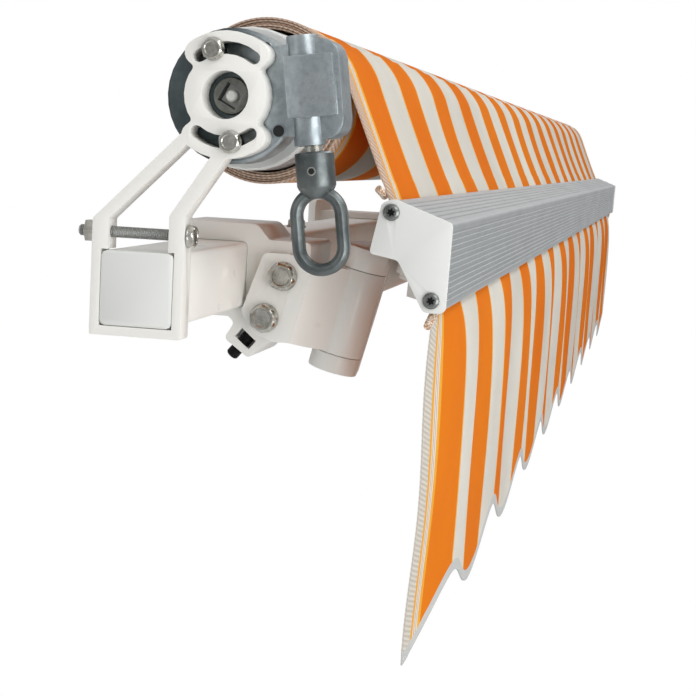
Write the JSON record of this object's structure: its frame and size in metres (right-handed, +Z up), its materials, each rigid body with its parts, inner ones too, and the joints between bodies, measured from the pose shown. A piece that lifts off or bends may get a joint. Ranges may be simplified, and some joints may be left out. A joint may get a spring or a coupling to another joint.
{
  "type": "folding arm awning",
  "caption": "Folding arm awning on a square torsion bar, with a geared roller, two elbow arms, a front bar and a striped canopy with a scalloped valance.",
  "frame": {"origin": "middle of the torsion bar's section, in the outer face of the end bracket on the gearbox side", "axes": "+X runs along the awning from the gearbox end to the far end, +Y points into the wall, +Z is up"},
  "size_m": [2.4098, 0.1953, 0.3659],
  "materials": {
    "powder_coat": "white powder coat",
    "white_plastic": "moulded, satin",
    "cast_zinc": "zinc die casting",
    "dark_steel": "dark casting with worn edges",
    "bolt_steel": "bright steel",
    "black_steel": "blackened steel",
    "aluminium": "extruded, satin",
    "galvanised_steel": "galvanised",
    "striped_cloth": "woven, orange and cream stripes"
  },
  "bodies": {
    "frame": {"torsion_bar": "powder_coat", "gearbox_housing": "cast_zinc", "idler_housing": "cast_zinc", "bar_end_cap_near": "white_plastic", "end_bracket_near": "powder_coat", "clamp_bolt_near": "bolt_steel", "clamp_nut_near": "bolt_steel", "ring_bolt_upper_near": "bolt_steel", "ring_bolt_lower_near": "bolt_steel", "wall_bracket_near": "powder_coat", "shoulder_bracket_near": "powder_coat", "pitch_screw_near": "black_steel", "lock_screw_near": "bolt_steel", "shoulder_knuckle_near": "powder_coat", "knuckle_bolt_upper_near": "bolt_steel", "knuckle_bolt_lower_near": "bolt_steel", "bar_end_cap_far": "white_plastic", "end_bracket_far": "powder_coat", "clamp_bolt_far": "bolt_steel", "clamp_nut_far": "bolt_steel", "ring_bolt_upper_far": "bolt_steel", "ring_bolt_lower_far": "bolt_steel", "wall_bracket_far": "powder_coat", "shoulder_bracket_far": "powder_coat", "pitch_screw_far": "black_steel", "lock_screw_far": "bolt_steel", "shoulder_knuckle_far": "powder_coat", "knuckle_bolt_upper_far": "bolt_steel", "knuckle_bolt_lower_far": "bolt_steel"},
    "roller": {"roller_tube": "galvanised_steel", "roller_plug_near": "white_plastic", "roller_plug_far": "white_plastic", "drive_hub": "cast_zinc", "canopy_roll": "striped_cloth"},
    "crank": {"worm_shaft": "bolt_steel", "crank_eye": "dark_steel", "eye_pin": "black_steel"},
    "upper_arm_near": {"upper_arm_fork_near": "powder_coat", "upper_arm_tube_near": "powder_coat", "elbow_fork_near": "powder_coat", "elbow_pin_near": "bolt_steel", "shoulder_pin_near": "bolt_steel"},
    "forearm_near": {"elbow_tongue_near": "powder_coat", "forearm_tube_near": "powder_coat", "forearm_eye_near": "powder_coat"},
    "front_bar": {"front_bar": "aluminium", "canopy_flap": "striped_cloth", "valance": "striped_cloth", "front_cap_near": "white_plastic", "arm_hanger_near": "powder_coat", "front_cap_far": "white_plastic", "arm_hanger_far": "powder_coat"},
    "upper_arm_far": {"upper_arm_fork_far": "powder_coat", "upper_arm_tube_far": "powder_coat", "elbow_fork_far": "powder_coat", "elbow_pin_far": "bolt_steel", "shoulder_pin_far": "bolt_steel"},
    "forearm_far": {"elbow_tongue_far": "powder_coat", "forearm_tube_far": "powder_coat", "forearm_eye_far": "powder_coat"}
  },
  "joints": [
    {"name": "shoulder_near", "type": "hinge", "parent": "frame", "child": "upper_arm_near", "pos_m": [0.18, -0.0808, -0.0202], "axis": [0, 0.2385, -0.9711], "range_deg": [0, 78]},
    {"name": "elbow_near", "type": "hinge", "parent": "upper_arm_near", "child": "forearm_near", "pos_m": [0.94, -0.09537, -0.02378], "axis": [0, -0.2385, 0.9711], "range_deg": [0, 156]},
    {"name": "front_pivot_near", "type": "hinge", "parent": "forearm_near", "child": "front_bar", "pos_m": [0.18, -0.10993, -0.02736], "axis": [0, 0.2385, -0.9711], "range_deg": [0, 78]},
    {"name": "shoulder_far", "type": "hinge", "parent": "frame", "child": "upper_arm_far", "pos_m": [2.22, -0.0808, -0.0202], "axis": [0, -0.2385, 0.9711], "range_deg": [0, 78]},
    {"name": "elbow_far", "type": "hinge", "parent": "upper_arm_far", "child": "forearm_far", "pos_m": [1.46, -0.09537, -0.02378], "axis": [0, 0.2385, -0.9711], "range_deg": [0, 156]},
    {"name": "roller_spin", "type": "hinge", "parent": "frame", "child": "roller", "pos_m": [1.2, -0.044, 0.104], "axis": [1, 0, 0], "range_deg": [0, 1950]},
    {"name": "crank_spin", "type": "hinge", "parent": "frame", "child": "crank", "pos_m": [0.024, -0.08316, 0.10916], "axis": [0, 0.1305, 0.9914], "range_deg": [0, 21450]}
  ],
  "couplings": [
    {"joint": "elbow_near", "follows": "shoulder_near", "ratio": 2},
    {"joint": "front_pivot_near", "follows": "shoulder_near", "ratio": 1},
    {"joint": "shoulder_far", "follows": "shoulder_near", "ratio": 1},
    {"joint": "elbow_far", "follows": "shoulder_near", "ratio": 2},
    {"joint": "roller_spin", "follows": "shoulder_near", "ratio": 25},
    {"joint": "crank_spin", "follows": "shoulder_near", "ratio": 275}
  ]
}
